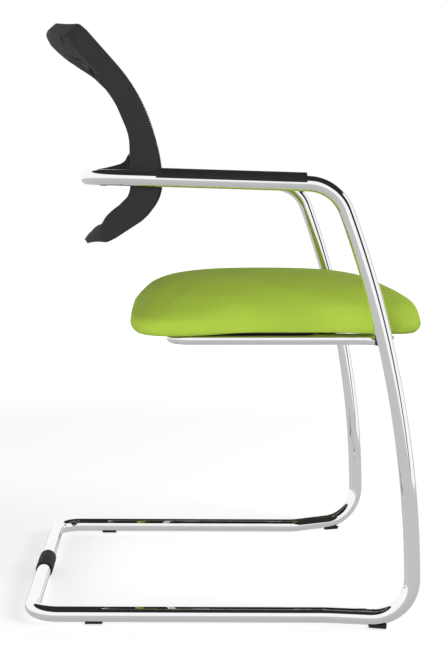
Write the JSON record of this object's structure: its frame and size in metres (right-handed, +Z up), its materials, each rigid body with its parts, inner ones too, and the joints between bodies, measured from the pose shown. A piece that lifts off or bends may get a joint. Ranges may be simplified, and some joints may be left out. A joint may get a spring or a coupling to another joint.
{
  "type": "cantilever conference chair",
  "caption": "Stacking cantilever conference chair: bent chromed tube frame with arms, upholstered seat pad and curved mesh backrest with a carrying grip.",
  "frame": {"origin": "on the floor, in the middle of the chair's bounding box", "axes": "+Z up, -Y the way a sitter faces, +X the sitter's left"},
  "size_m": [0.5658, 0.5783, 0.8636],
  "materials": {
    "chrome": "bright chromium plate",
    "rubber": "matte black",
    "black_plastic": "fine matte texture",
    "grey_black_plastic": "fine matte texture",
    "mesh": "open woven mesh",
    "fabric": "woven upholstery fabric",
    "foam": "cut foam, hidden in the seat pad",
    "plywood": "sanded, hidden in the seat pad",
    "zinc": "bright zinc plate",
    "brass": "plain",
    "steel": "plain bar, hidden in the tube"
  },
  "bodies": {
    "root": {"frame_tube_left": "chrome", "frame_tube_right": "chrome", "base_spigot": "steel", "back_spigot": "steel", "base_sleeve": "rubber", "glide_rear_left": "black_plastic", "glide_rear_right": "black_plastic", "glide_front_left": "black_plastic", "glide_front_right": "black_plastic", "seat_support_tube": "chrome", "seat_lug_front_left": "chrome", "seat_lug_front_right": "chrome", "seat_lug_rear_left": "chrome", "seat_lug_rear_right": "chrome", "seat_bolt_front_left": "zinc", "seat_bolt_front_right": "zinc", "seat_bolt_rear_left": "zinc", "seat_bolt_rear_right": "zinc", "seat_t_nut_front_left": "zinc", "seat_t_nut_front_right": "zinc", "seat_t_nut_rear_left": "zinc", "seat_t_nut_rear_right": "zinc", "stacking_buffer_left": "black_plastic", "stacking_buffer_right": "black_plastic", "seat_under_cover": "black_plastic", "seat_board": "plywood", "seat_cover": "fabric", "seat_foam": "foam", "arm_pad_left": "black_plastic", "arm_pad_right": "black_plastic", "back_mesh": "mesh", "back_frame": "grey_black_plastic", "mesh_retainer": "black_plastic", "back_bracket": "grey_black_plastic", "back_screw_left": "zinc", "back_screw_right": "zinc", "back_insert_left": "brass", "back_insert_right": "brass", "rail_screw_left_lower": "zinc", "rail_screw_left_upper": "zinc", "rail_screw_right_lower": "zinc", "rail_screw_right_upper": "zinc"}
  },
  "joints": []
}
